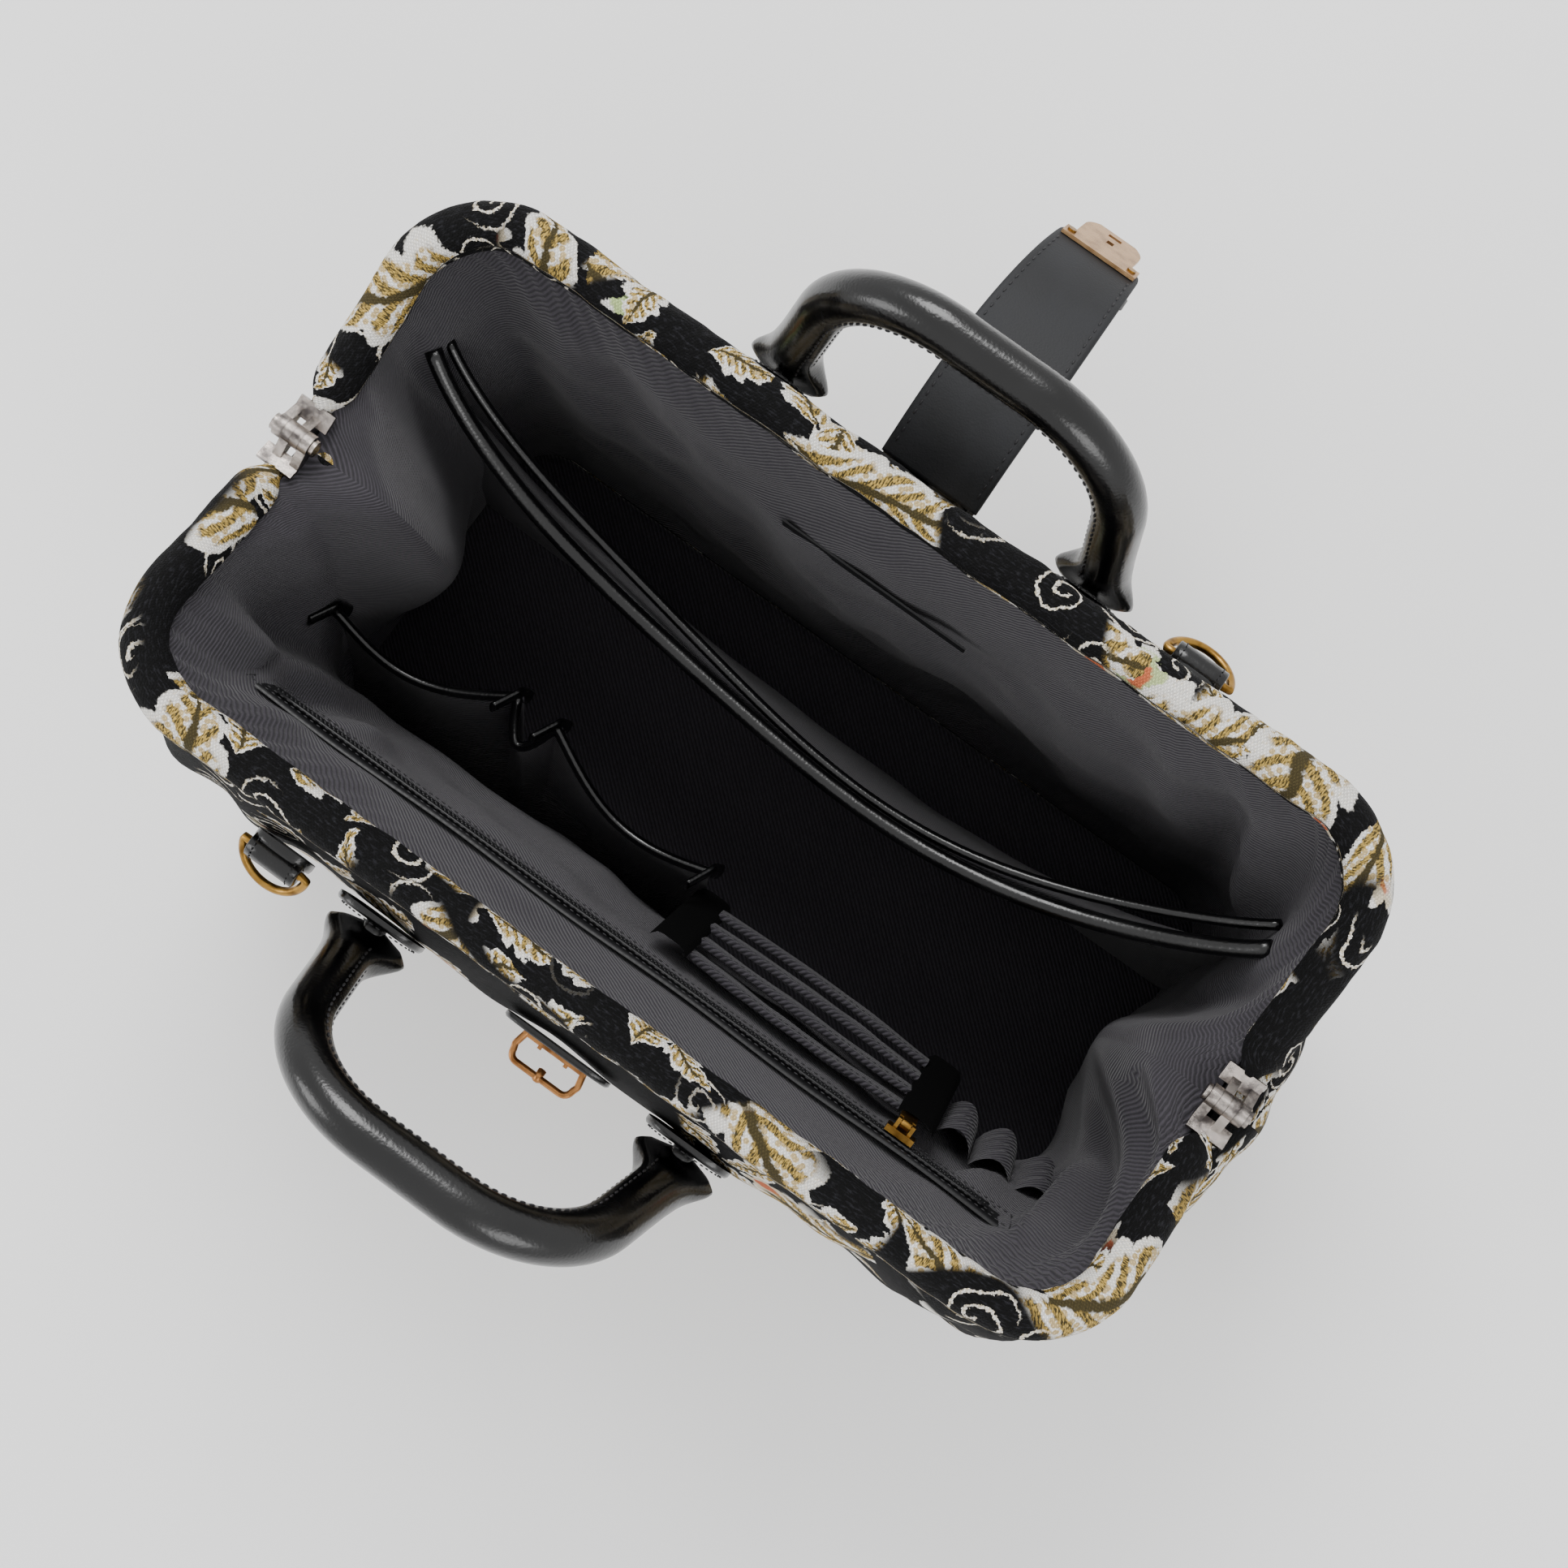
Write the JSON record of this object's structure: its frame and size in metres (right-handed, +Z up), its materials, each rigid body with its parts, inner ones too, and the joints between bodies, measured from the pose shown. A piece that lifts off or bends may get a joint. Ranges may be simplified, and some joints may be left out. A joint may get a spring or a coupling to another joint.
{
  "type": "doctor bag",
  "caption": "Top-frame doctor bag, mouth open, with woven walls, padded divider, inner pockets, rolled handles, closure strap, tuck lock and D-rings.",
  "frame": {"origin": "bottom of the middle foot", "axes": "+X along the bag, -Y the front wall with the zip and lock, +Z up"},
  "size_m": [0.4412, 0.4578, 0.3051],
  "materials": {
    "tapestry": "black chenille ground with a woven leaf pattern in cream, beige and gold",
    "lining": "dark grey cotton twill",
    "board": "stiff fibre board",
    "leather": "glossy black leather",
    "strap_leather": "matte black leather backing",
    "steel_rail": "plain steel",
    "nickel": "bright nickel plate",
    "antique_brass": "antique brass plate",
    "bronze_plate": "brushed bronze plate",
    "lock_brass": "rose brass plate",
    "velvet": "black velvet ribbon",
    "zip_black": "black nylon",
    "black_post": "black moulded stud",
    "cord_core": "cotton cord core"
  },
  "bodies": {
    "base": {"bottom_panel": "tapestry", "bottom_board": "board", "bottom_lining": "lining", "base_feet": "antique_brass", "left_gusset": "tapestry", "right_gusset": "tapestry", "left_gusset_lining": "lining", "right_gusset_lining": "lining", "laptop_divider": "lining", "divider_piping": "leather"},
    "hinge_carriage": {"left_hinge_pin": "nickel", "right_hinge_pin": "nickel"},
    "front_frame": {"front_rail": "steel_rail", "front_sleeve": "tapestry", "front_left_hinge_leaf": "nickel", "front_right_hinge_leaf": "nickel"},
    "back_frame": {"back_rail": "steel_rail", "back_sleeve": "tapestry", "back_left_hinge_leaf": "nickel", "back_right_hinge_leaf": "nickel"},
    "front_wall": {"front_panel": "tapestry", "front_stiffener": "board", "front_lining": "lining", "zip_pouch": "lining", "zip_tape": "zip_black", "zip_teeth": "zip_black", "slip_pocket": "lining", "pocket_binding": "leather", "card_slots": "lining", "velvet_strips": "velvet", "pen_loops": "lining", "front_handle_tabs": "leather", "front_handle_pins": "steel_rail", "front_ring_loop": "leather", "lock_patch": "leather", "lock_case": "lock_brass"},
    "back_wall": {"back_panel": "tapestry", "back_stiffener": "board", "back_lining": "lining", "back_welt": "zip_black", "back_handle_tabs": "leather", "back_handle_pins": "steel_rail", "back_ring_loop": "leather", "strap_root": "leather"},
    "front_handle": {"front_handle": "leather", "front_handle_core": "cord_core"},
    "back_handle": {"back_handle": "leather", "back_handle_core": "cord_core"},
    "front_ring": {"front_ring": "antique_brass"},
    "back_ring": {"back_ring": "antique_brass"},
    "strap": {"closure_strap": "strap_leather", "strap_tongue": "bronze_plate", "strap_screws": "antique_brass", "strap_post": "black_post"},
    "zip_slider": {"zip_slider": "antique_brass"},
    "zip_puller": {"zip_puller": "antique_brass"},
    "lock_button": {"lock_button": "lock_brass", "lock_spring": "steel_rail"}
  },
  "joints": [
    {"name": "mouth_fold_front", "type": "hinge", "parent": "hinge_carriage", "child": "front_frame", "pos_m": [0, 0, 0.24], "axis": [-1, 0, 0], "range_deg": [0, 72]},
    {"name": "mouth_fold_back", "type": "hinge", "parent": "hinge_carriage", "child": "back_frame", "pos_m": [0, 0, 0.24], "axis": [1, 0, 0], "range_deg": [0, 72]},
    {"name": "hinge_drop", "type": "slide", "parent": "base", "child": "hinge_carriage", "axis": [0, 0, -1], "range_m": [0, 0.0994]},
    {"name": "front_wall_lean", "type": "hinge", "parent": "base", "child": "front_wall", "pos_m": [0, -0.095, 0], "axis": [-1, 0, 0], "range_deg": [0, 21.7]},
    {"name": "back_wall_lean", "type": "hinge", "parent": "base", "child": "back_wall", "pos_m": [0, 0.095, 0], "axis": [1, 0, 0], "range_deg": [0, 21.7]},
    {"name": "front_handle_swing", "type": "hinge", "parent": "front_wall", "child": "front_handle", "pos_m": [0, -0.137, 0.202], "axis": [-1, 0, 0], "range_deg": [-135, 30]},
    {"name": "back_handle_swing", "type": "hinge", "parent": "back_wall", "child": "back_handle", "pos_m": [0, 0.137, 0.202], "axis": [1, 0, 0], "range_deg": [-55, 14]},
    {"name": "front_ring_swing", "type": "hinge", "parent": "front_wall", "child": "front_ring", "pos_m": [-0.128, -0.1315, 0.208], "axis": [-1, 0, 0], "range_deg": [-40, 100]},
    {"name": "back_ring_swing", "type": "hinge", "parent": "back_wall", "child": "back_ring", "pos_m": [0.112, 0.1315, 0.208], "axis": [1, 0, 0], "range_deg": [-40, 100]},
    {"name": "strap_swing", "type": "hinge", "parent": "back_wall", "child": "strap", "pos_m": [0, 0.129, 0.216], "axis": [1, 0, 0], "range_deg": [-35, 45]},
    {"name": "zip_slide", "type": "slide", "parent": "front_wall", "child": "zip_slider", "axis": [1, 0, 0], "range_m": [-0.28, 0.034]},
    {"name": "zip_puller_swing", "type": "hinge", "parent": "zip_slider", "child": "zip_puller", "pos_m": [0.122, -0.07357, 0.21751], "axis": [-1, 0, 0], "range_deg": [-100, 0]},
    {"name": "lock_button_press", "type": "slide", "parent": "front_wall", "child": "lock_button", "axis": [0, 1, 0], "range_m": [0, 0.0013], "stiffness_N_per_m": 400, "springref_m": -0.002}
  ],
  "couplings": [
    {"joint": "mouth_fold_back", "follows": "mouth_fold_front", "ratio": 1},
    {"joint": "hinge_drop", "follows": "mouth_fold_front", "m_per_rad": 0.07895},
    {"joint": "front_wall_lean", "follows": "mouth_fold_front", "ratio": 0.3},
    {"joint": "back_wall_lean", "follows": "mouth_fold_front", "ratio": 0.3}
  ]
}
